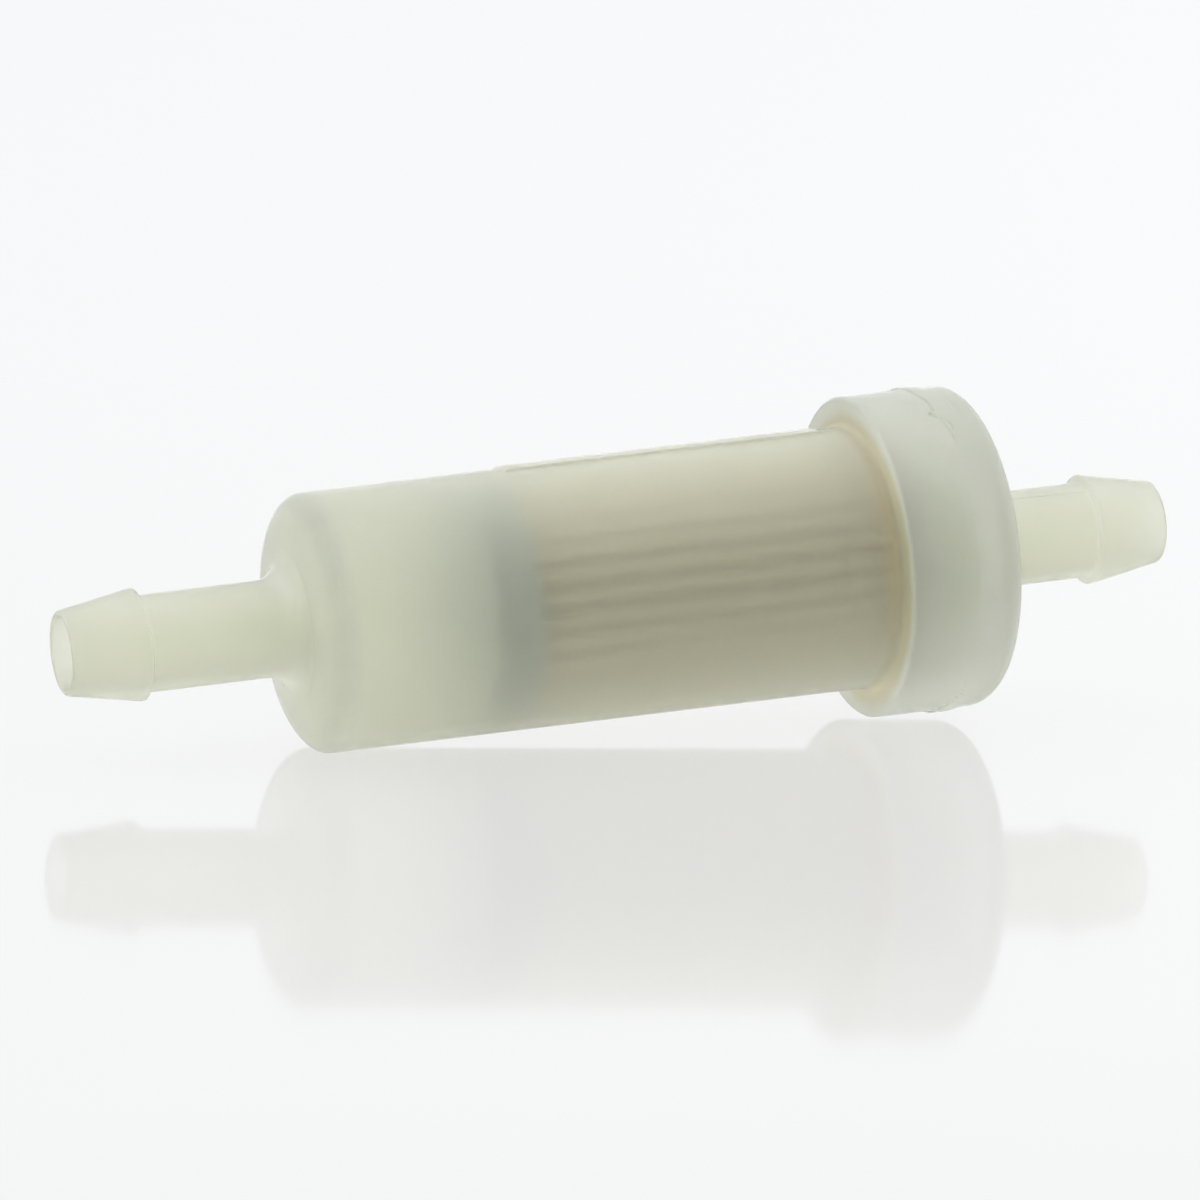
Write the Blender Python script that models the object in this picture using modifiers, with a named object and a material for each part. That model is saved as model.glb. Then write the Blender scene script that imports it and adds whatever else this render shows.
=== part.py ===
# Inline fuel filter: a moulded nylon bowl and its spin-welded outlet cap, each with a barbed hose
# nipple, around a pleated paper element.
#
# Flow runs along +X, from the inlet nipple to the outlet nipple. The origin is on the axis, at
# mid-length. Turned shapes are drawn as (radius, along) points and turned about the flow axis.
# Every outline runs down its outer side, from the outlet end to the inlet end, and back inside.

import math

import bmesh
import bpy

# Driving dimensions, in metres
INLET_NIPPLE_LENGTH = 0.0196
BOWL_LENGTH = 0.0494  # end face to rim
BOWL_RIM_LENGTH = 0.00525
CAP_RIM_LENGTH = 0.0039
OUTLET_NIPPLE_LENGTH = 0.01755

STEM_RADIUS = 0.00405  # for 8 mm fuel hose
BARB_HEIGHT = 0.00062
BARB_LENGTH = 0.0061  # crest to tip
BARB_LAND = 0.0003
BARB_BACK = 0.0007
TIP_WALL = 0.00057
TIP_EDGE = 0.00015
NIPPLE_BORE_RADIUS = 0.0030
NIPPLE_FILLET = 0.0010

BOWL_END_RADIUS = 0.01075
BOWL_DRAFT = 0.00025  # wider towards the mouth, so that the bowl leaves its mould
BOWL_WALL = 0.0015
BOWL_END_WALL = 0.0018
SHOULDER_RADIUS = 0.0032
SHOULDER_DOME = 0.0003
INNER_CORNER_RADIUS = 0.0018

RIM_HEIGHT = 0.0025  # outwards from the bowl
RIM_EDGE = 0.0003
RIM_ROOT_FILLET = 0.0008
CAP_EDGE_RADIUS = 0.0012
CAP_WALL = 0.00225
WELD_GROOVE_DEPTH = 0.0007
WELD_BEAD_PROUD = 0.00015

COLLAR_WALL = 0.0013
SOCKET_WALL = 0.0012

ELEMENT_GAP = 0.00045  # the fuel's way round the element, inside the bowl
CLOSED_CAP_BASE = 0.0012
CLOSED_CAP_SKIRT_LENGTH = 0.0030
CLOSED_CAP_SKIRT_WALL = 0.00045
CAP_CORNER_RADIUS = 0.0005
CLOSED_ADHESIVE_DEPTH = 0.0011

OPEN_CAP_THICKNESS = 0.0015
OPEN_ADHESIVE_DEPTH = 0.0016
NECK_LENGTH = 0.0039
NECK_RADIUS = 0.0041
NECK_BORE_RADIUS = 0.0029
NECK_LIP_HEIGHT = 0.0004
NECK_LIP_LENGTH = 0.0006
SEAL_THICKNESS = 0.0011

PLEAT_LENGTH = 0.0314
PLEAT_COUNT = 28
PLEAT_TIP_WIDTH = 0.0005
PAPER_THICKNESS = 0.00025
STRIP_THICKNESS = 0.0002
STRIP_DEPTH = 0.0008

CORE_RADIUS = 0.0032
CORE_WALL = 0.0006
WINDOW_LENGTH = 0.0020
WINDOW_WIDTH = 0.0034
WINDOW_PITCH = 0.0029

CLEARANCE = 0.0003  # between neighbours that touch or nearly touch in the real filter
OUTER_STEPS = 48
INNER_STEPS = 32
SEAL_SIDES = 8
ARC_STEP = math.radians(16)
CRISP_ANGLE = math.radians(28)
MERGE_DISTANCE = 0.00001

# Places along the flow axis
OVERALL_LENGTH = (
    INLET_NIPPLE_LENGTH + BOWL_LENGTH + BOWL_RIM_LENGTH + CLEARANCE + CAP_RIM_LENGTH + OUTLET_NIPPLE_LENGTH
)
INLET_TIP = -OVERALL_LENGTH / 2
BOWL_END = INLET_TIP + INLET_NIPPLE_LENGTH
RIM_FACE = BOWL_END + BOWL_LENGTH
BOWL_MOUTH = RIM_FACE + BOWL_RIM_LENGTH
CAP_MOUTH = BOWL_MOUTH + CLEARANCE
CAP_FACE = CAP_MOUTH + CAP_RIM_LENGTH
OUTLET_TIP = CAP_FACE + OUTLET_NIPPLE_LENGTH

CAP_INSIDE = CAP_FACE - CAP_WALL
NECK_END = CAP_INSIDE - CLEARANCE
OPEN_CAP_TOP = NECK_END - NECK_LENGTH
OPEN_CAP_UNDERSIDE = OPEN_CAP_TOP - OPEN_CAP_THICKNESS
OPEN_ADHESIVE_TOP = OPEN_CAP_UNDERSIDE - CLEARANCE
PLEAT_TOP = OPEN_ADHESIVE_TOP - OPEN_ADHESIVE_DEPTH - CLEARANCE
PLEAT_BOTTOM = PLEAT_TOP - PLEAT_LENGTH
CLOSED_ADHESIVE_TOP = PLEAT_BOTTOM - CLEARANCE
CLOSED_CAP_FLOOR = CLOSED_ADHESIVE_TOP - CLOSED_ADHESIVE_DEPTH - CLEARANCE
CLOSED_CAP_BOTTOM = CLOSED_CAP_FLOOR - CLOSED_CAP_BASE

# Radii that follow from a neighbour
BARB_RADIUS = STEM_RADIUS + BARB_HEIGHT
TIP_RADIUS = NIPPLE_BORE_RADIUS + TIP_WALL
BOWL_RIM_ROOT_RADIUS = BOWL_END_RADIUS + BOWL_DRAFT
RIM_RADIUS = BOWL_RIM_ROOT_RADIUS + RIM_HEIGHT
MOUTH_RADIUS = BOWL_RIM_ROOT_RADIUS - BOWL_WALL
CHAMBER_END_RADIUS = BOWL_END_RADIUS - BOWL_WALL
ELEMENT_RADIUS = CHAMBER_END_RADIUS - ELEMENT_GAP
COLLAR_RADIUS = MOUTH_RADIUS - CLEARANCE
SEAL_RING_RADIUS = NECK_RADIUS + CLEARANCE + SEAL_THICKNESS / 2
SOCKET_RADIUS = SEAL_RING_RADIUS + SEAL_THICKNESS / 2 + CLEARANCE
SKIRT_BORE_RADIUS = ELEMENT_RADIUS - CLOSED_CAP_SKIRT_WALL
PLEAT_OUTER_RADIUS = SKIRT_BORE_RADIUS - CLEARANCE
PLEAT_INNER_RADIUS = CORE_RADIUS + CLEARANCE
CORE_BORE_RADIUS = CORE_RADIUS - CORE_WALL

COLOURS = {
    "natural_nylon": ("D9DCC8", 0.35),
    "weld_nylon": ("E2E4D6", 0.45),
    "slate_plastic": ("7C8A93", 0.50),
    "grey_plastic": ("9AA096", 0.50),
    "amber_adhesive": ("B08A4A", 0.40),
    "filter_paper": ("B9A27C", 0.90),
    "seal_rubber": ("2B2B2B", 0.70),
    "tinned_strip": ("A9ABA8", 0.35),
    "core_plastic": ("D6D2C4", 0.50),
}
METALS = {"tinned_strip"}


def clear_scene():
    for obj in list(bpy.data.objects):
        bpy.data.objects.remove(obj, do_unlink=True)


def collection(name):
    made = bpy.data.collections.new(name)
    bpy.context.scene.collection.children.link(made)
    return made


def linear(hex_colour):
    channels = [int(hex_colour[i : i + 2], 16) / 255 for i in (0, 2, 4)]
    return [c / 12.92 if c <= 0.04045 else ((c + 0.055) / 1.055) ** 2.4 for c in channels] + [1.0]


def material(finish, node_name):
    hex_colour, roughness = COLOURS[finish]
    made = bpy.data.materials.new(node_name + "_" + finish)
    made.use_nodes = True
    shader = made.node_tree.nodes["Principled BSDF"]
    shader.inputs["Base Color"].default_value = linear(hex_colour)
    shader.inputs["Roughness"].default_value = roughness
    shader.inputs["Metallic"].default_value = 1.0 if finish in METALS else 0.0
    return made


def arc(centre_radius, centre_along, size, start, end):
    """Points of a quarter round or less, with the angles in degrees from the outward direction."""
    turn = math.radians(end - start)
    count = max(2, math.ceil(abs(turn) / ARC_STEP))
    points = []
    for i in range(count + 1):
        angle = math.radians(start) + turn * i / count
        points.append((centre_radius + size * math.cos(angle), centre_along + size * math.sin(angle)))
    return points


def nipple(face, way):
    """A barbed hose nipple from the fillet on its face to the mouth of its bore. way is +1 or -1."""
    tip = face + way * (OUTLET_NIPPLE_LENGTH if way > 0 else INLET_NIPPLE_LENGTH)
    crest = tip - way * BARB_LENGTH
    root = face + way * NIPPLE_FILLET
    points = arc(STEM_RADIUS + NIPPLE_FILLET, root, NIPPLE_FILLET, -90 * way, -180 * way)
    points.append((STEM_RADIUS, crest - way * (BARB_LAND / 2 + BARB_BACK)))
    points.append((BARB_RADIUS, crest - way * BARB_LAND / 2))
    points.append((BARB_RADIUS, crest + way * BARB_LAND / 2))
    points.append((TIP_RADIUS, tip - way * TIP_EDGE))
    points.append((TIP_RADIUS - TIP_EDGE, tip))
    points.append((NIPPLE_BORE_RADIUS + TIP_EDGE, tip))
    points.append((NIPPLE_BORE_RADIUS, tip - way * TIP_EDGE))
    return points


def bowl_outline():
    shoulder_top = BOWL_END + SHOULDER_DOME + SHOULDER_RADIUS
    chamber_floor = BOWL_END + BOWL_END_WALL
    outside = [
        (RIM_RADIUS - WELD_GROOVE_DEPTH, BOWL_MOUTH),
        (RIM_RADIUS, BOWL_MOUTH - WELD_GROOVE_DEPTH),
        (RIM_RADIUS, RIM_FACE + RIM_EDGE),
        (RIM_RADIUS - RIM_EDGE, RIM_FACE),
    ]
    root_radius = BOWL_RIM_ROOT_RADIUS + RIM_ROOT_FILLET
    outside += arc(root_radius, RIM_FACE - RIM_ROOT_FILLET, RIM_ROOT_FILLET, 90, 180)
    outside += arc(BOWL_END_RADIUS - SHOULDER_RADIUS, shoulder_top, SHOULDER_RADIUS, 0, -90)
    inside = arc(
        CHAMBER_END_RADIUS - INNER_CORNER_RADIUS,
        chamber_floor + INNER_CORNER_RADIUS,
        INNER_CORNER_RADIUS,
        -90,
        0,
    )
    bore_end = [(NIPPLE_BORE_RADIUS, chamber_floor)]
    mouth = [(MOUTH_RADIUS, BOWL_MOUTH)]
    return outside + nipple(BOWL_END, -1) + bore_end + inside + mouth


def outlet_cap_outline():
    outside = list(reversed(nipple(CAP_FACE, 1)))
    outside += arc(RIM_RADIUS - CAP_EDGE_RADIUS, CAP_FACE - CAP_EDGE_RADIUS, CAP_EDGE_RADIUS, 90, 0)
    collar_end = OPEN_CAP_TOP + CLEARANCE
    return outside + [
        (RIM_RADIUS, CAP_MOUTH + WELD_GROOVE_DEPTH),
        (RIM_RADIUS - WELD_GROOVE_DEPTH, CAP_MOUTH),
        (COLLAR_RADIUS, CAP_MOUTH),
        (COLLAR_RADIUS, collar_end),
        (COLLAR_RADIUS - COLLAR_WALL, collar_end),
        (COLLAR_RADIUS - COLLAR_WALL, CAP_INSIDE),
        (SOCKET_RADIUS + SOCKET_WALL, CAP_INSIDE),
        (SOCKET_RADIUS + SOCKET_WALL, collar_end),
        (SOCKET_RADIUS, collar_end),
        (SOCKET_RADIUS, CAP_INSIDE),
        (NIPPLE_BORE_RADIUS, CAP_INSIDE),
    ]


def weld_bead_outline():
    """Fills the groove between the two rims, a clearance off both faces, and stands a little proud."""
    middle = (BOWL_MOUTH + CAP_MOUTH) / 2
    off_face = CLEARANCE * math.sqrt(2)
    root = RIM_RADIUS - WELD_GROOVE_DEPTH + off_face - CLEARANCE / 2
    half_width = RIM_RADIUS - root
    return [
        (RIM_RADIUS + WELD_BEAD_PROUD, middle + half_width / 2),
        (RIM_RADIUS + WELD_BEAD_PROUD, middle - half_width / 2),
        (RIM_RADIUS, middle - half_width),
        (root, middle),
        (RIM_RADIUS, middle + half_width),
    ]


def closed_end_cap_outline():
    skirt_top = CLOSED_CAP_FLOOR + CLOSED_CAP_SKIRT_LENGTH
    corner = arc(
        ELEMENT_RADIUS - CAP_CORNER_RADIUS,
        CLOSED_CAP_BOTTOM + CAP_CORNER_RADIUS,
        CAP_CORNER_RADIUS,
        0,
        -90,
    )
    return (
        [(0, CLOSED_CAP_FLOOR), (SKIRT_BORE_RADIUS, CLOSED_CAP_FLOOR), (SKIRT_BORE_RADIUS, skirt_top)]
        + [(ELEMENT_RADIUS, skirt_top)]
        + corner
        + [(0, CLOSED_CAP_BOTTOM)]
    )


def open_end_cap_outline():
    lip_radius = NECK_RADIUS + NECK_LIP_HEIGHT
    return [
        (NECK_BORE_RADIUS, NECK_END),
        (lip_radius - NECK_LIP_HEIGHT / 2, NECK_END),
        (lip_radius, NECK_END - NECK_LIP_LENGTH / 2),
        (lip_radius, NECK_END - NECK_LIP_LENGTH),
        (NECK_RADIUS, NECK_END - NECK_LIP_LENGTH),
        (NECK_RADIUS, OPEN_CAP_TOP),
        (ELEMENT_RADIUS, OPEN_CAP_TOP),
        (ELEMENT_RADIUS, OPEN_CAP_UNDERSIDE),
        (NECK_BORE_RADIUS, OPEN_CAP_UNDERSIDE),
    ]


def ring_outline(inner, outer, bottom, top):
    return [(inner, top), (outer, top), (outer, bottom), (inner, bottom)]


def link(obj, name, finish, place):
    obj.name = name
    obj.data.name = name
    obj.data.materials.clear()
    obj.data.materials.append(material(finish, name))
    obj.parent = place["axis"]
    for old in list(obj.users_collection):
        old.objects.unlink(obj)
    place["parts"].objects.link(obj)
    return obj


def baked(obj):
    """Turns the modifiers into mesh and shades the round faces smooth, with crisp edges."""
    bpy.context.view_layer.update()
    evaluated = obj.evaluated_get(bpy.context.evaluated_depsgraph_get())
    mesh = bpy.data.meshes.new_from_object(evaluated)
    obj.modifiers.clear()
    obj.data = mesh
    mesh.name = obj.name
    mesh.shade_smooth()
    mesh.set_sharp_from_angle(angle=CRISP_ANGLE)
    return obj


def turned(name, outline, finish, place, steps, closed=True):
    """A profile turned about the flow axis, half a step round so that a flat lies at the bottom."""
    mesh = bpy.data.meshes.new(name)
    edges = [(i, i + 1) for i in range(len(outline) - 1)]
    if closed:
        edges.append((len(outline) - 1, 0))
    mesh.from_pydata([(radius, 0, along) for radius, along in outline], edges, [])
    obj = link(bpy.data.objects.new(name, mesh), name, finish, place)
    obj.rotation_euler.z = math.pi / steps
    screw = obj.modifiers.new("turn", "SCREW")
    screw.steps = steps
    screw.render_steps = steps
    screw.use_merge_vertices = not closed
    screw.merge_threshold = MERGE_DISTANCE
    return obj


def folded_sheet(name, shape, thickness, finish, place):
    """A sheet that follows a path of (x, y) points round the flow axis and runs along it."""
    sheet = bmesh.new()
    feet = [sheet.verts.new((x, y, shape["bottom"])) for x, y in shape["path"]]
    for i in range(len(feet) - (0 if shape["closed"] else 1)):
        sheet.edges.new((feet[i], feet[(i + 1) % len(feet)]))
    raised = bmesh.ops.extrude_edge_only(sheet, edges=list(sheet.edges))
    heads = [item for item in raised["geom"] if isinstance(item, bmesh.types.BMVert)]
    bmesh.ops.translate(sheet, verts=heads, vec=(0, 0, shape["top"] - shape["bottom"]))
    bmesh.ops.recalc_face_normals(sheet, faces=list(sheet.faces))
    mesh = bpy.data.meshes.new(name)
    sheet.to_mesh(mesh)
    sheet.free()
    obj = link(bpy.data.objects.new(name, mesh), name, finish, place)
    solid = obj.modifiers.new("paper", "SOLIDIFY")
    solid.thickness = thickness
    solid.offset = 0
    solid.use_even_offset = True
    return obj


def pleat_path():
    """The paper's centre line, folded out to the skirt and in to the core, once for each pleat."""
    outer = PLEAT_OUTER_RADIUS - PAPER_THICKNESS / 2
    inner = PLEAT_INNER_RADIUS + PAPER_THICKNESS / 2
    pitch = 2 * math.pi / PLEAT_COUNT
    tip = PLEAT_TIP_WIDTH / 2 / outer
    seam = math.pi / 2
    points = []
    for i in range(PLEAT_COUNT):
        middle = seam + i * pitch
        valley = middle + pitch / 2
        for radius, angle in (
            (outer, middle - tip),
            (outer, middle + tip),
            (inner, valley - pitch / 4),
            (inner, valley + pitch / 4),
        ):
            points.append((radius * math.cos(angle), radius * math.sin(angle)))
    return points


def strip_path():
    """Straddles the pleat on the far side, where the two ends of the sheet meet."""
    off_paper = PAPER_THICKNESS / 2 + CLEARANCE + STRIP_THICKNESS / 2
    reach = PLEAT_OUTER_RADIUS + CLEARANCE + STRIP_THICKNESS / 2
    half_width = PLEAT_TIP_WIDTH / 2 + off_paper
    return [
        (half_width, reach - STRIP_DEPTH),
        (half_width, reach),
        (-half_width, reach),
        (-half_width, reach - STRIP_DEPTH),
    ]


def window_cutter(core_bottom, core_top, place):
    """Bars right through the core tube, each row a quarter turn from the next."""
    rows = max(1, int((core_top - core_bottom - WINDOW_LENGTH) / WINDOW_PITCH))
    first = (core_top + core_bottom) / 2 - (rows - 1) * WINDOW_PITCH / 2
    bars = bmesh.new()
    reach = 3 * CORE_RADIUS
    for row in range(rows):
        size = (reach, WINDOW_WIDTH) if row % 2 else (WINDOW_WIDTH, reach)
        bar = bmesh.ops.create_cube(bars, size=1.0)
        bmesh.ops.scale(bars, verts=bar["verts"], vec=(size[0], size[1], WINDOW_LENGTH))
        bmesh.ops.translate(bars, verts=bar["verts"], vec=(0, 0, first + row * WINDOW_PITCH))
    mesh = bpy.data.meshes.new("core_windows")
    bars.to_mesh(mesh)
    bars.free()
    cutter = bpy.data.objects.new("core_windows", mesh)
    cutter.parent = place["axis"]
    cutter.hide_render = True
    cutter.display_type = "WIRE"
    place["cutters"].objects.link(cutter)
    return cutter


def build_housing(place):
    baked(turned("body_housing", bowl_outline(), "natural_nylon", place, OUTER_STEPS))
    baked(turned("outlet_cap", outlet_cap_outline(), "natural_nylon", place, OUTER_STEPS))
    baked(turned("weld_bead", weld_bead_outline(), "weld_nylon", place, OUTER_STEPS))


def build_end_caps(place):
    closed_cap = closed_end_cap_outline()
    baked(turned("closed_end_cap", closed_cap, "slate_plastic", place, INNER_STEPS, closed=False))
    baked(turned("open_end_cap", open_end_cap_outline(), "grey_plastic", place, INNER_STEPS))
    closed_bed = ring_outline(
        PLEAT_INNER_RADIUS,
        PLEAT_OUTER_RADIUS,
        CLOSED_ADHESIVE_TOP - CLOSED_ADHESIVE_DEPTH,
        CLOSED_ADHESIVE_TOP,
    )
    baked(turned("closed_end_adhesive", closed_bed, "amber_adhesive", place, INNER_STEPS))
    open_bed = ring_outline(
        PLEAT_INNER_RADIUS,
        ELEMENT_RADIUS - CLEARANCE,
        OPEN_ADHESIVE_TOP - OPEN_ADHESIVE_DEPTH,
        OPEN_ADHESIVE_TOP,
    )
    baked(turned("open_end_adhesive", open_bed, "amber_adhesive", place, INNER_STEPS))


def build_seal(place):
    lip_foot = NECK_END - NECK_LIP_LENGTH
    bpy.ops.mesh.primitive_torus_add(
        major_radius=SEAL_RING_RADIUS,
        minor_radius=SEAL_THICKNESS / 2,
        major_segments=INNER_STEPS,
        minor_segments=SEAL_SIDES,
    )
    seal = link(bpy.context.object, "neck_seal", "seal_rubber", place)
    seal.location = (0, 0, (lip_foot + OPEN_CAP_TOP) / 2)
    seal.data.shade_smooth()


def build_media(place):
    paper = {"path": pleat_path(), "bottom": PLEAT_BOTTOM, "top": PLEAT_TOP, "closed": True}
    baked(folded_sheet("pleated_media", paper, PAPER_THICKNESS, "filter_paper", place))
    strip_bottom = CLOSED_CAP_FLOOR + CLOSED_CAP_SKIRT_LENGTH + CLEARANCE
    strip = {"path": strip_path(), "bottom": strip_bottom, "top": PLEAT_TOP, "closed": False}
    baked(folded_sheet("media_seam_strip", strip, STRIP_THICKNESS, "tinned_strip", place))


def build_core(place):
    bottom = CLOSED_CAP_FLOOR + CLEARANCE
    wall = ring_outline(CORE_BORE_RADIUS, CORE_RADIUS, bottom, OPEN_ADHESIVE_TOP)
    core = turned("core_tube", wall, "core_plastic", place, INNER_STEPS)
    cut = core.modifiers.new("windows", "BOOLEAN")
    cut.operation = "DIFFERENCE"
    cut.solver = "EXACT"
    cut.object = window_cutter(bottom, OPEN_ADHESIVE_TOP, place)
    baked(core)


def main():
    clear_scene()
    flow_axis = bpy.data.objects.new("flow_axis", None)
    flow_axis.rotation_euler = (0, math.pi / 2, 0)
    place = {"parts": collection("inline_fuel_filter"), "cutters": collection("cutters"), "axis": flow_axis}
    place["parts"].objects.link(flow_axis)
    build_housing(place)
    build_end_caps(place)
    build_seal(place)
    build_media(place)
    build_core(place)


main()
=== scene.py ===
import math

import bmesh
import bpy
from mathutils import Matrix, Vector


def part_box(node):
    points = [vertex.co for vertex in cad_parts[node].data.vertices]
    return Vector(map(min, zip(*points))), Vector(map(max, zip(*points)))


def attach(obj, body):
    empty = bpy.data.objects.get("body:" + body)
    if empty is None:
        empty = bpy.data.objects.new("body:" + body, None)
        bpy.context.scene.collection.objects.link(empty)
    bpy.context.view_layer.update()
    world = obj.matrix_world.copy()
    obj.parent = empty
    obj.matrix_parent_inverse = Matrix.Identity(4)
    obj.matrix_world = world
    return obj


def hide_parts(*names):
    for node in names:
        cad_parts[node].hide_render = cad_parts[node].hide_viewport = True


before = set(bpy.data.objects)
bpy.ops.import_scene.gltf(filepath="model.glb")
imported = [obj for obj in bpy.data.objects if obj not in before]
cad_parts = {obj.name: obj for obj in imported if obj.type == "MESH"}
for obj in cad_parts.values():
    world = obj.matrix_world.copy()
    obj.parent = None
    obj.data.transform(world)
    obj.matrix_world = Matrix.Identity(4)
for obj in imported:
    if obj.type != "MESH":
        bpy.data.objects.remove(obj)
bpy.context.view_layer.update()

mm = 0.001
wedges = 24  # A turned piece is spun as one wedge, which is then repeated round the axis
sharpAngle = 30  # An edge that turns by more degrees than this is shaded as an edge


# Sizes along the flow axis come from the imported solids, in mm
def ends(node):
    low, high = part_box(node)
    return low[0] / mm, high[0] / mm


inletTip = ends("body_housing")[0]
collarEnd, outletTip = ends("outlet_cap")
seam = sum(ends("weld_bead")) / 2

# Radii, lengths and roundings of the nipples, the bowl and the cap, in mm; a dome step is in degrees
nipple = {
    "stem": 4.01,
    "bore": 2.95,
    "crest": 4.61,
    "crestFromTip": 6.25,
    "crestLand": 0.3,
    "crestBack": 0.22,
    "crestRounding": 0.18,
    "tip": 3.48,
    "tipRounding": 0.3,
    "boreRounding": 0.25,
    "inletRoot": 2.5,
    "outletRoot": 1.5,
}

bowl = {
    "endFace": inletTip + 19.27,
    "endRadius": 10.72,
    "domeLength": 2.35,
    "domeDepth": 4.1,
    "domeStep": 6,
    "wall": 1.5,
    "endWall": 3.0,
    "innerCorner": 1.4,
    "boreMouth": 0.3,
    "rimFace": inletTip + 68.85,
    "rimRootRadius": 10.96,
    "rimRootFillet": 0.6,
    "rim": 13.49,
    "rimRounding": 0.35,
    "mouthRadius": 9.46,
}

cap = {
    "face": outletTip - 17.07,
    "edge": 1.6,
    "wall": 2.25,
    "collar": 9.2,
    "collarWall": 1.3,
    "socketOuter": 7.0,
    "socketInner": 5.8,
    "innerRounding": 0.15,
}


# Degrees between the points of a rounding, which are coarser where it is small, up to so many mm
arc = {"fine": 7.5, "coarse": 18, "small": 0.4}


# An outline of (along, radius, rounding) corners, each turned into an arc
def roundedPath(corners):
    path = []
    for i, (along, radius, rounding) in enumerate(corners):
        here = Vector((along, radius))
        if not rounding:
            path.append(here)
            continue
        back = (Vector(corners[i - 1][:2]) - here).normalized()
        ahead = (Vector(corners[(i + 1) % len(corners)][:2]) - here).normalized()
        half = back.angle(ahead) / 2
        centre = here + (back + ahead).normalized() * rounding / math.sin(half)
        start = here + back * rounding / math.tan(half) - centre
        end = here + ahead * rounding / math.tan(half) - centre
        turn = start.angle_signed(end)
        arcStep = arc["coarse"] if rounding < arc["small"] else arc["fine"]
        steps = max(2, round(abs(math.degrees(turn)) / arcStep))
        for k in range(steps + 1):
            path.append(centre + Matrix.Rotation(-turn * k / steps, 2) @ start)
    return path


# Splits long runs of an open outline, so that the turned wall has rows to shape
def withRows(path, longest):
    made = []
    for here, after in zip(path, path[1:]):
        parts = max(1, math.ceil((after - here).length / longest))
        made += [here.lerp(after, k / parts) for k in range(parts)]
    return made + [path[-1]]


# Turns an open outline round the flow axis
def turned(path, wedgeSteps=24):
    shape = bmesh.new()
    verts = [shape.verts.new((p.x * mm, 0, p.y * mm)) for p in path]
    edges = [shape.edges.new(pair) for pair in zip(verts, verts[1:])]
    spin = {"cent": (0, 0, 0), "axis": (1, 0, 0)}
    wedge = 2 * math.pi / wedges
    bmesh.ops.spin(shape, geom=verts + edges, angle=wedge, steps=wedgeSteps, **spin)
    whole = shape.verts[:] + shape.edges[:] + shape.faces[:]
    bmesh.ops.spin(
        shape, geom=whole, angle=2 * math.pi - wedge, steps=wedges - 1, use_duplicate=True, **spin
    )
    bmesh.ops.remove_doubles(shape, verts=shape.verts[:], dist=0.002 * mm)
    bmesh.ops.recalc_face_normals(shape, faces=shape.faces[:])
    return shape


# Makes the shape an object that stands for a node of the frame and moves with it
def finished(name, shape, materials, node):
    mesh = bpy.data.meshes.new(name)
    shape.to_mesh(mesh)
    shape.free()
    mesh.shade_smooth()
    mesh.set_sharp_from_angle(angle=math.radians(sharpAngle))
    for material in materials:
        mesh.materials.append(material)
    piece = bpy.data.objects.new(name, mesh)
    bpy.context.scene.collection.objects.link(piece)
    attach(piece, "root")
    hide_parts(node)
    print(name, len(mesh.polygons), "faces")


# A hose nipple from its root to its bore; way is -1 for the inlet nipple and +1 for the outlet one
def nippleCorners(tip, face, way):
    n = nipple
    crest = tip - way * n["crestFromTip"]
    return [
        (face, n["stem"], n["inletRoot"] if way < 0 else n["outletRoot"]),
        (crest - way * (n["crestLand"] / 2 + n["crestBack"]), n["stem"], n["crestRounding"]),
        (crest - way * n["crestLand"] / 2, n["crest"], n["crestRounding"] / 2),
        (crest + way * n["crestLand"] / 2, n["crest"], n["crestRounding"]),
        (tip, n["tip"], n["tipRounding"]),
        (tip, n["bore"], n["boreRounding"]),
    ]


# The weld made one solid of bowl and cap, so both are open there and meet the flash's skin,
# which reaches this far from the seam towards either end
flashReach = (1.35, 2.1)


def bowlPath():
    b = bowl
    chamberEnd = b["endFace"] + b["endWall"]
    outside = [
        (seam - flashReach[0], b["rim"], 0),
        (b["rimFace"], b["rim"], b["rimRounding"]),
        (b["rimFace"], b["rimRootRadius"], b["rimRootFillet"]),
    ]
    # The shoulder is a quarter of an ellipse
    for degrees in range(90, -1, -b["domeStep"]):
        turn = math.radians(degrees)
        along = b["endFace"] + b["domeLength"] * (1 - math.cos(turn))
        radius = b["endRadius"] - b["domeDepth"] * (1 - math.sin(turn))
        outside.append((along, radius, 0))
    inside = [
        (chamberEnd, nipple["bore"], b["boreMouth"]),
        (chamberEnd, b["endRadius"] - b["wall"], b["innerCorner"]),
        (seam, b["mouthRadius"], 0),
    ]
    return roundedPath(outside + nippleCorners(inletTip, b["endFace"], -1) + inside)


def capPath():
    c = cap
    inner = c["face"] - c["wall"]
    rounding = c["innerRounding"]
    inside = [
        (seam, bowl["mouthRadius"], 0),
        (seam, c["collar"], 0),
        (collarEnd, c["collar"], rounding),
        (collarEnd, c["collar"] - c["collarWall"], rounding),
        (inner, c["collar"] - c["collarWall"], rounding),
        (inner, c["socketOuter"], rounding),
        (collarEnd, c["socketOuter"], rounding),
        (collarEnd, c["socketInner"], rounding),
        (inner, c["socketInner"], rounding),
        (inner, nipple["bore"], rounding),
    ]
    nose = list(reversed(nippleCorners(outletTip, c["face"], 1)))
    rim = [(c["face"], bowl["rim"], c["edge"]), (seam + flashReach[1], bowl["rim"], 0)]
    return roundedPath(inside + nose + rim)


# Colours are sRGB hex, as they look, and shaders want them linear
def fromHex(code):
    channels = [int(code[i : i + 2], 16) / 255 for i in (0, 2, 4)]
    return [c / 12.92 if c <= 0.04045 else ((c + 0.055) / 1.055) ** 2.4 for c in channels] + [1.0]


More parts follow.
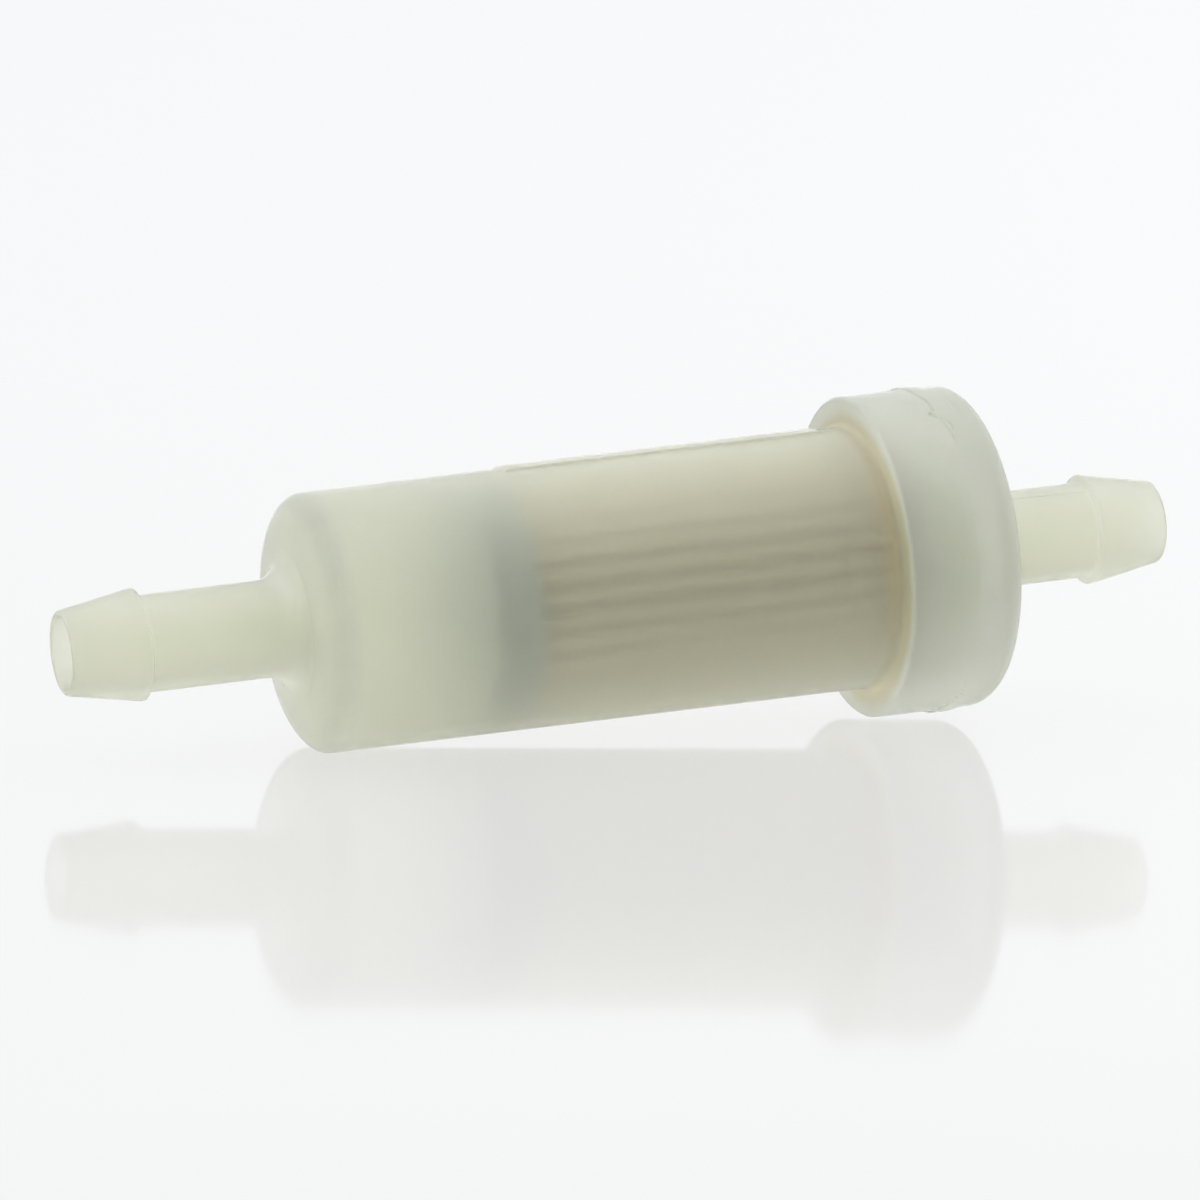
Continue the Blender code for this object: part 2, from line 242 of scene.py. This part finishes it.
# Adds a node; an input is a value, or a (node, output) pair to link from
def addNode(tree, kind, settings=None, inputs=None):
    node = tree.nodes.new("ShaderNode" + kind)
    for key, value in (settings or {}).items():
        setattr(node, key, value)
    for key, value in (inputs or {}).items():
        if isinstance(value, tuple) and isinstance(value[0], bpy.types.Node):
            tree.links.new(value[0].outputs[value[1]], node.inputs[key])
        else:
            node.inputs[key].default_value = value
    return node


def newMaterial(name):
    material = bpy.data.materials.new(name)
    material.use_nodes = True
    material.node_tree.nodes.clear()
    return material, material.node_tree


# Natural nylon 6/6, injection moulded: milky and faintly green, because crystals in it scatter the light
# that passes through. A shape behind it shows without an edge, a thick wall is darker than a thin one, and
# its moulded skin has a soft gloss, which sharpens where the surface turns away and lights up the outline.
# clear is the share of light let through, and cloud and grain are sizes in mm
nylon = {
    "colour": "F8F9EF",
    "warmColour": "F5F6E7",
    "roughness": 0.65,
    "edgeRoughness": 0.15,
    "edgeFrom": 0.72,
    "ior": 1.53,
    "clear": 0.95,
    "skin": 0.25,
    "skinRoughness": 0.2,
    "cloud": 6.0,
    "grain": 0.5,
    "grainDepth": 0.05,
    "grainStrength": 0.05,
}

# Where the nylon is thick, less light comes through it, and the mould's cores left the insides rougher
thickNylon = dict(nylon, clear=0.8, colour="F5F7F0", warmColour="F2F4E9")
insideNylon = dict(
    nylon, roughness=0.75, edgeRoughness=0.6, skin=0.0, colour="F4F5EA", warmColour="F1F2E3"
)

ringCloud = 2.5  # The rings below waver over this many mm

# An amber ring is painted into the nylon's colour in the corner between bowl and rim, a little off the axis
amberRing = {
    "colour": "DED3AC",
    "along": 20.9,
    "radius": 11.3,
    "aside": -0.65,
    "core": 0.3,
    "reach": 1.6,
    "wander": 0.5,
}

# Painted shade: a soft darker ring painted into the nylon's colour at the corner of the bowl's closed end,
# where the wall is thick
paintedCornerShade = {
    "colour": "C9D0C9",
    "along": bowl["endFace"] + 2.1,
    "radius": 9.4,
    "aside": 0.0,
    "core": 0.2,
    "reach": 1.7,
    "wander": 0.4,
}


# How strongly a ring round the axis shows at a place, by the distance from the ring's own circle
def ringMask(tree, place, ring):
    parts = addNode(tree, "SeparateXYZ", inputs={"Vector": (place, "Object")})
    side = addNode(tree, "Math", {"operation": "SUBTRACT"}, {0: (parts, "Y"), 1: ring["aside"] * mm})
    flat = addNode(tree, "CombineXYZ", inputs={"Y": (side, "Value"), "Z": (parts, "Z")})
    radius = addNode(tree, "VectorMath", {"operation": "LENGTH"}, {0: (flat, "Vector")})
    pair = addNode(tree, "CombineXYZ", inputs={"X": (parts, "X"), "Y": (radius, "Value")})
    circle = (ring["along"] * mm, ring["radius"] * mm, 0)
    away = addNode(tree, "VectorMath", {"operation": "DISTANCE"}, {0: (pair, "Vector"), 1: circle})
    wander = addNode(
        tree, "TexNoise", inputs={"Vector": (place, "Object"), "Scale": 1 / (ringCloud * mm), "Detail": 3.0}
    )
    shift = addNode(
        tree,
        "Math",
        {"operation": "MULTIPLY_ADD"},
        {0: (wander, "Fac"), 1: ring["wander"] * mm, 2: (away, "Value")},
    )
    return addNode(
        tree,
        "MapRange",
        {"interpolation_type": "SMOOTHSTEP"},
        {
            "Value": (shift, "Value"),
            "From Min": (ring["core"] + ring["wander"] / 2) * mm,
            "From Max": (ring["reach"] + ring["wander"] / 2) * mm,
            "To Min": 1.0,
            "To Max": 0.0,
        },
    )


def naturalNylon(name, settings):
    material, tree = newMaterial(name)
    place = addNode(tree, "TexCoord")
    cloud = addNode(
        tree,
        "TexNoise",
        inputs={"Vector": (place, "Object"), "Scale": 1 / (settings["cloud"] * mm), "Detail": 2.0},
    )
    colour = addNode(
        tree,
        "Mix",
        {"data_type": "RGBA"},
        {0: (cloud, "Fac"), 6: fromHex(settings["colour"]), 7: fromHex(settings["warmColour"])},
    )
    # Mixes the amber ring and the painted shade of the thick corner into the nylon's colour, by place on the
    # piece
    for ring in (amberRing, paintedCornerShade):
        mask = ringMask(tree, place, ring)
        colour = addNode(
            tree,
            "Mix",
            {"data_type": "RGBA"},
            {0: (mask, "Result"), 6: (colour, 2), 7: fromHex(ring["colour"])},
        )
    grain = addNode(
        tree,
        "TexNoise",
        inputs={"Vector": (place, "Object"), "Scale": 1 / (settings["grain"] * mm), "Detail": 3.0},
    )
    bump = addNode(
        tree,
        "Bump",
        inputs={
            "Strength": settings["grainStrength"],
            "Distance": settings["grainDepth"] * mm,
            "Height": (grain, "Fac"),
        },
    )
    facing = addNode(tree, "LayerWeight", inputs={"Blend": 0.5})
    gloss = addNode(
        tree,
        "MapRange",
        inputs={
            "Value": (facing, "Facing"),
            "From Min": settings["edgeFrom"],
            "From Max": 1.0,
            "To Min": settings["roughness"],
            "To Max": settings["edgeRoughness"],
        },
    )
    shader = addNode(
        tree,
        "BsdfPrincipled",
        inputs={
            "Base Color": (colour, 2),
            "Roughness": (gloss, "Result"),
            "IOR": settings["ior"],
            "Transmission Weight": settings["clear"],
            "Coat Weight": settings["skin"],
            "Coat Roughness": settings["skinRoughness"],
            "Normal": (bump, "Normal"),
        },
    )
    addNode(tree, "OutputMaterial", inputs={"Surface": (shader, "BSDF")})
    return material


# Round the axis, 0 degrees is the far side, 90 the top and 180 the camera's side
def around(co):
    return math.degrees(math.atan2(co.z, co.y)) % 360


# Eases from 0 to 1 as value goes from start to end
def ease(value, start, end):
    share = min(1.0, max(0.0, (value - start) / (end - start)))
    return share * share * (3 - 2 * share)


def outwards(vert, height):
    away = Vector((0, vert.co.y, vert.co.z)).normalized()
    vert.co += away * height * mm


def cutRows(shape, places):
    for place in places:
        bmesh.ops.bisect_plane(
            shape,
            geom=shape.verts[:] + shape.edges[:] + shape.faces[:],
            dist=0.001 * mm,
            plane_co=(place * mm, 0, 0),
            plane_no=(1, 0, 0),
        )


# The far half of the mould stood a little proud along part of the bowl, which left a step in the outline.
# Its place along and its height are in mm, and where it lies round the axis in degrees
step = {"height": 0.2, "from": -9.2, "to": 18.0, "fade": 0.5, "low": 22.0, "high": 89.5, "ramp": 30.0}


def addMouldStep(shape):
    s = step
    cutRows(shape, [s["from"] - s["fade"], s["from"], s["to"], s["to"] + s["fade"]])
    for vert in shape.verts:
        along = vert.co.x / mm
        radius = math.hypot(vert.co.y, vert.co.z) / mm
        angle = around(vert.co)
        if radius < bowl["endRadius"] - bowl["wall"] / 2 or not s["low"] < angle < s["high"]:
            continue
        rise = ease(along, s["from"] - s["fade"], s["from"]) * ease(-along, -s["to"] - s["fade"], -s["to"])
        outwards(vert, s["height"] * rise * ease(angle, s["low"], s["low"] + s["ramp"]))


# A raised line along both sides of the outlet nipple's stem, where the halves of its mould met.
# Heights and places are in mm, its width and its angles in degrees
parting = {"height": 0.05, "width": 1.3, "angles": (111.0, 291.0), "from": 31.0, "to": 42.4, "near": 0.1}


def addPartingLine(shape):
    p = parting
    for vert in shape.verts:
        radius = math.hypot(vert.co.y, vert.co.z) / mm
        onLine = any(abs(around(vert.co) - angle) < p["width"] / 2 for angle in p["angles"])
        onStem = abs(radius - nipple["stem"]) < p["near"]
        if onLine and onStem and p["from"] < vert.co.x / mm < p["to"]:
            outwards(vert, p["height"])


# How far past a wall, in mm, its nylon is painted
paint = {
    "bore": 0.1,
    "rimFace": 0.01,
    "rimEdge": 0.3,
    "shoulder": 2.5,
    "mouth": 0.05,
    "nippleRoot": 1.5,
    "collarEnd": 1.0,
    "capWall": 0.3,
}


# The rim's own faces, outside the bowl and the nipple, take the second material, and those inside the third.
# The hollow is where it starts and ends along the axis, and its radius
def paintNylon(shape, rimFrom, hollow):
    low, high, limit = hollow
    for face in shape.faces:
        middle = face.calc_center_median()
        along = middle.x / mm
        radius = math.hypot(middle.y, middle.z) / mm
        if low < along < high and nipple["bore"] + paint["bore"] < radius < limit:
            face.material_index = 2
        elif along > bowl["rimFace"] - paint["rimFace"] and radius > rimFrom:
            face.material_index = 1


nylons = (
    naturalNylon("naturalNylonMoulded", nylon),
    naturalNylon("naturalNylonThick", thickNylon),
    naturalNylon("naturalNylonInside", insideNylon),
)
longestRow = 4.0  # No face of the bowl or cap is longer along the axis than this, in mm

shape = turned(withRows(bowlPath(), longestRow))
addMouldStep(shape)
chamber = (bowl["endFace"] + paint["shoulder"], seam, bowl["mouthRadius"] + paint["mouth"])
paintNylon(shape, bowl["rim"] - paint["rimEdge"], chamber)
finished("bowl", shape, nylons, "body_housing")

shape = turned(withRows(capPath(), longestRow))
addPartingLine(shape)
capFloor = cap["face"] - cap["wall"]
socket = (collarEnd - paint["collarEnd"], capFloor + paint["capWall"], cap["collar"] + paint["capWall"])
paintNylon(shape, nipple["stem"] + paint["nippleRoot"], socket)
finished("outletCap", shape, nylons, "outlet_cap")

# The skin over the spin weld: flush in front, and smeared over the cap's side at the top and at the bottom.
# An edge is where the smear begins, in degrees and mm from the seam, with its height and the slope's width.
# Waves of (mm, turn for each degree, phase) make it ragged, and it loses the faded share of its height.
# A curl is a thin raised line of (degrees, mm from the seam, height)
flash = {
    "row": 0.075,
    "wedgeSteps": 36,
    "edges": (
        (
            (62, 0.2, 0.0, 0.6),
            (73, -0.9, 0.14, 0.9),
            (76, -1.0, 0.17, 0.9),
            (80, -0.2, 0.15, 0.4),
            (93, -0.05, 0.12, 0.2),
            (101, 0.22, 0.1, 0.16),
            (107, 0.2, 0.12, 0.14),
            (109, -0.45, 0.14, 0.14),
            (110.5, -0.3, 0.12, 0.14),
            (112.5, 0.35, 0.07, 0.14),
            (117, 0.6, 0.05, 0.2),
            (122, 0.75, 0.03, 0.2),
            (130, 0.75, 0.0, 0.2),
        ),
        (
            (214, 0.0, 0.0, 0.2),
            (222, 0.2, 0.04, 0.2),
            (230, 0.35, 0.1, 0.16),
            (235, -0.2, 0.15, 0.14),
            (241, -0.3, 0.2, 0.14),
            (244, -0.75, 0.2, 0.14),
            (248, -1.0, 0.2, 0.3),
            (253, -1.2, 0.22, 0.9),
            (256, -0.8, 0.22, 0.6),
            (266, 0.0, 0.08, 0.3),
            (276, 0.3, 0.0, 0.3),
        ),
    ),
    "waves": ((0.06, 2.3, 0.0), (0.04, 5.1, 1.0)),
    "fade": (0.9, 2.0),
    "faded": 0.8,
    "curls": (
        ((112.5, 0.4, 0.08), (115, 0.85, 0.1), (118, 1.0, 0.09), (121, 0.8, 0.04)),
        ((112.5, 0.4, 0.05), (117, 0.6, 0.08), (122, 0.75, 0.05), (128, 0.8, 0.0)),
        ((108.5, -0.3, 0.1), (110.0, -0.1, 0.12), (111.5, 0.2, 0.06)),
    ),
    "curlWidth": 0.1,
    "hump": 0.008,
    "humpFrom": 0.3,
    "humpTo": 0.05,
    "border": 0.1,
}


# A value on a run of points that start with their degrees, or None past its ends
def onRun(run, angle, index):
    for here, after in zip(run, run[1:]):
        if here[0] <= angle < after[0]:
            share = (angle - here[0]) / (after[0] - here[0])
            return here[index] + (after[index] - here[index]) * share
    return None


# How far the skin stands proud at a place, in degrees and mm from the seam
def flashHeight(angle, offset):
    height = flash["hump"] * ease(-abs(offset), -flash["humpFrom"], -flash["humpTo"])
    for run in flash["edges"]:
        start = onRun(run, angle, 1)
        if start is not None:
            waves = sum(size * math.sin(angle * pace + phase) for size, pace, phase in flash["waves"])
            rise = ease(offset, start + waves, start + waves + onRun(run, angle, 3))
            height += onRun(run, angle, 2) * rise * (1 - flash["faded"] * ease(offset, *flash["fade"]))
    for run in flash["curls"]:
        middle = onRun(run, angle, 1)
        if middle is not None:
            height += onRun(run, angle, 2) * ease(-abs(offset - middle), -flash["curlWidth"], 0)
    return height


def weldFlash():
    back, ahead = flashReach
    rows = round((back + ahead) / flash["row"])
    path = [Vector((seam - back + (back + ahead) * k / rows, bowl["rim"])) for k in range(rows + 1)]
    shape = turned(path, flash["wedgeSteps"])
    border = flash["border"]
    for vert in shape.verts:
        offset = vert.co.x / mm - seam
        share = ease(offset, -back, -back + border) * ease(-offset, -ahead, -ahead + border)
        outwards(vert, share * flashHeight(around(vert.co), offset))
    return shape


# The same nylon, melted and frozen again in the weld
weldNylon = naturalNylon("weldNylon", thickNylon)
finished("weldFlash", weldFlash(), (weldNylon,), "weld_bead")

# What the housing holds, seen only through the milky nylon: pale colours, because the nylon darkens them.
# Each has a cloud of light and dark and its size in mm, a range of roughness, and a grain's size and depth
# in mm; through is the share of light that spreads inside it, as far as spread says, in mm
spread = {"radius": (1.0, 0.8, 0.6), "scale": 1.6}
grainStrength = 0.5
innerFinishes = {
    "pleated_media": {  # Cellulose paper in resin: dull and translucent, which softens the pleats' shadows
        "name": "resinTreatedFilterPaper",
        "colours": ("FFF5E4", "FFE9CE"),
        "cloud": 1.2,
        "roughness": (0.85, 0.95),
        "through": 0.6,
        "grain": (0.12, 0.03),
    },
    "core_tube": {  # Natural acetal, moulded: creamy, with a soft even gloss
        "name": "mouldedAcetalCore",
        "colours": ("DAD6C8", "CBC6B6"),
        "cloud": 3.0,
        "roughness": (0.4, 0.5),
        "grain": (0.3, 0.01),
    },
    "closed_end_cap": {  # Slate-coloured nylon, moulded: satin, a little darker in its flow lines
        "name": "mouldedSlateNylon",
        "colours": ("B3BABD", "A5ADB1"),
        "cloud": 2.5,
        "roughness": (0.45, 0.6),
        "grain": (0.3, 0.015),
    },
    "open_end_cap": {  # Pale grey nylon, moulded: satin
        "name": "mouldedGreyNylon",
        "colours": ("AEB1A7", "A1A498"),
        "cloud": 2.5,
        "roughness": (0.45, 0.6),
        "grain": (0.3, 0.015),
    },
    "closed_end_adhesive": {  # Poured and cured adhesive: smooth, amber where it is deep
        "name": "curedPottingClosedEnd",
        "colours": ("DCCCAA", "CDB88F"),
        "cloud": 1.5,
        "roughness": (0.25, 0.4),
        "grain": (0.8, 0.02),
    },
    "open_end_adhesive": {
        "name": "curedPottingOpenEnd",
        "colours": ("DCC9A0", "CFB684"),
        "cloud": 1.5,
        "roughness": (0.25, 0.4),
        "grain": (0.8, 0.02),
    },
    "neck_seal": {  # Moulded nitrile rubber: near black and dull
        "name": "mouldedNitrileRubber",
        "colours": ("2A2A2A", "343332"),
        "cloud": 1.0,
        "roughness": (0.65, 0.8),
        "grain": (0.15, 0.01),
    },
    "media_seam_strip": {  # Tinned steel strip, rolled and crimped: soft grey gloss
        "name": "rolledTinnedSteel",
        "colours": ("C6C7C4", "B4B6B3"),
        "cloud": 0.8,
        "roughness": (0.3, 0.45),
        "metallic": 1.0,
        "grain": (0.1, 0.01),
    },
}


def innerMaterial(settings):
    material, tree = newMaterial(settings["name"])
    place = addNode(tree, "TexCoord")
    cloud = addNode(
        tree,
        "TexNoise",
        inputs={"Vector": (place, "Object"), "Scale": 1 / (settings["cloud"] * mm), "Detail": 4.0},
    )
    light, dark = settings["colours"]
    colour = addNode(
        tree, "Mix", {"data_type": "RGBA"}, {0: (cloud, "Fac"), 6: fromHex(light), 7: fromHex(dark)}
    )
    smooth, rough = settings["roughness"]
    finish = addNode(
        tree, "MapRange", inputs={"Value": (cloud, "Fac"), "To Min": smooth, "To Max": rough}
    )
    size, depth = settings["grain"]
    grain = addNode(
        tree, "TexNoise", inputs={"Vector": (place, "Object"), "Scale": 1 / (size * mm), "Detail": 2.0}
    )
    bump = addNode(
        tree, "Bump", inputs={"Strength": grainStrength, "Distance": depth * mm, "Height": (grain, "Fac")}
    )
    shader = addNode(
        tree,
        "BsdfPrincipled",
        inputs={
            "Base Color": (colour, 2),
            "Roughness": (finish, "Result"),
            "Metallic": settings.get("metallic", 0.0),
            "Subsurface Weight": settings.get("through", 0.0),
            "Subsurface Radius": spread["radius"],
            "Subsurface Scale": spread["scale"] * mm,
            "Normal": (bump, "Normal"),
        },
    )
    addNode(tree, "OutputMaterial", inputs={"Surface": (shader, "BSDF")})
    return material


for node, settings in innerFinishes.items():
    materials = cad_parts[node].data.materials
    materials.clear()
    materials.append(innerMaterial(settings))
print("inner pieces finished")

# The filter lies with its shoulder and its rim to the floor, which therefore slopes in this frame. Slope in
# degrees and drop in mm put its mirror image where the photograph has it: the floor is then 0.13 mm below
# the shoulder and 0.5 mm below the rim. The floor's half width is in metres
rest = {"slope": 3.81, "drop": 12.57, "halfWidth": 2.5}
slope = math.radians(rest["slope"])
floorNormal = Vector((math.sin(slope), 0, math.cos(slope)))

floorMesh = bmesh.new()
bmesh.ops.create_grid(floorMesh, x_segments=1, y_segments=1, size=rest["halfWidth"])
bmesh.ops.rotate(floorMesh, verts=floorMesh.verts[:], matrix=Matrix.Rotation(slope, 3, "Y"))
bmesh.ops.translate(floorMesh, verts=floorMesh.verts[:], vec=-floorNormal * rest["drop"] * mm)
floorData = bpy.data.meshes.new("floor")
floorMesh.to_mesh(floorData)
floorMesh.free()
floor = bpy.data.objects.new("floor", floorData)
bpy.context.scene.collection.objects.link(floor)

# White acrylic, cast as a sheet and lit from below: shadows on it are faint, and its polished face mirrors
# the filter softly. Its glow falls from near to far over the reach, in metres
sheet = {
    "colour": "686868",
    "roughness": 0.08,
    "ior": 1.42,
    "glow": "FDFDFC",
    "near": 0.6,
    "far": 0.41,
    "reach": 0.35,
}
floorMaterial, tree = newMaterial("whiteAcrylicSheet")
place = addNode(tree, "TexCoord")
spot = addNode(tree, "SeparateXYZ", inputs={"Vector": (place, "Object")})
level = addNode(
    tree,
    "MapRange",
    inputs={
        "Value": (spot, "Y"),
        "From Min": -sheet["reach"] / 4,
        "From Max": sheet["reach"],
        "To Min": sheet["near"],
        "To Max": sheet["far"],
    },
)
shader = addNode(
    tree,
    "BsdfPrincipled",
    inputs={
        "Base Color": fromHex(sheet["colour"]),
        "Roughness": sheet["roughness"],
        "IOR": sheet["ior"],
        "Emission Color": fromHex(sheet["glow"]),
        "Emission Strength": (level, "Result"),
    },
)
addNode(tree, "OutputMaterial", inputs={"Surface": (shader, "BSDF")})
floor.data.materials.append(floorMaterial)

# The world: a bright tent behind and above, dimmer on the camera's side, and plain white where it shows
tent = {
    "colour": "FBFCFF",
    "shown": "F8F9FA",
    "back": 1.22,
    "front": 0.41,
    "dimSide": (-0.34, -0.92, -0.18),
    "dimFrom": -0.2,
    "dimTo": 0.9,
}
world = bpy.data.worlds.new("lightTent")
bpy.context.scene.world = world
world.use_nodes = True
tree = world.node_tree
tree.nodes.clear()
direction = addNode(tree, "TexCoord")
facing = addNode(
    tree, "VectorMath", {"operation": "DOT_PRODUCT"}, {0: (direction, "Generated"), 1: tent["dimSide"]}
)
level = addNode(
    tree,
    "MapRange",
    {"interpolation_type": "SMOOTHSTEP"},
    {
        "Value": (facing, "Value"),
        "From Min": tent["dimFrom"],
        "From Max": tent["dimTo"],
        "To Min": tent["back"],
        "To Max": tent["front"],
    },
)
glow = addNode(tree, "Background", inputs={"Color": fromHex(tent["colour"]), "Strength": (level, "Result")})
shown = addNode(tree, "Background", inputs={"Color": fromHex(tent["shown"]), "Strength": 1.0})
rays = addNode(tree, "LightPath")
choice = addNode(
    tree,
    "MixShader",
    inputs={0: (rays, "Is Camera Ray"), 1: (glow, "Background"), 2: (shown, "Background")},
)
addNode(tree, "OutputWorld", inputs={"Surface": (choice, "Shader")})

# The camera, from a fit of the filter's outline to the photograph; its place is in mm, its clips in metres
view = {
    "place": (-216.85, -599.97, 174.15),
    "forward": (0.3255, 0.9077, -0.265),
    "up": (0.1145, 0.2403, 0.9639),
    "focal": 240.0,
    "sensor": 36.0,
    "clipStart": 0.05,
    "clipEnd": 20.0,
}
back = -Vector(view["forward"]).normalized()
right = Vector(view["up"]).cross(back).normalized()
up = back.cross(right)
cameraData = bpy.data.cameras.new("camera")
cameraData.lens = view["focal"]
cameraData.sensor_width = view["sensor"]
cameraData.clip_start = view["clipStart"]
cameraData.clip_end = view["clipEnd"]
camera = bpy.data.objects.new("camera", cameraData)
turn = Matrix((right, up, back)).transposed().to_4x4()
camera.matrix_world = Matrix.Translation(Vector(view["place"]) * mm) @ turn
bpy.context.scene.collection.objects.link(camera)
bpy.context.scene.camera = camera

# Light crosses many rough walls before it leaves the milky nylon
bounces = {"transmission_bounces": 32, "max_bounces": 32, "glossy_bounces": 4, "diffuse_bounces": 4}
for key, value in bounces.items():
    setattr(bpy.context.scene.cycles, key, value)

bpy.context.scene.view_settings.view_transform = "Standard"
print("floor, light and camera in place")
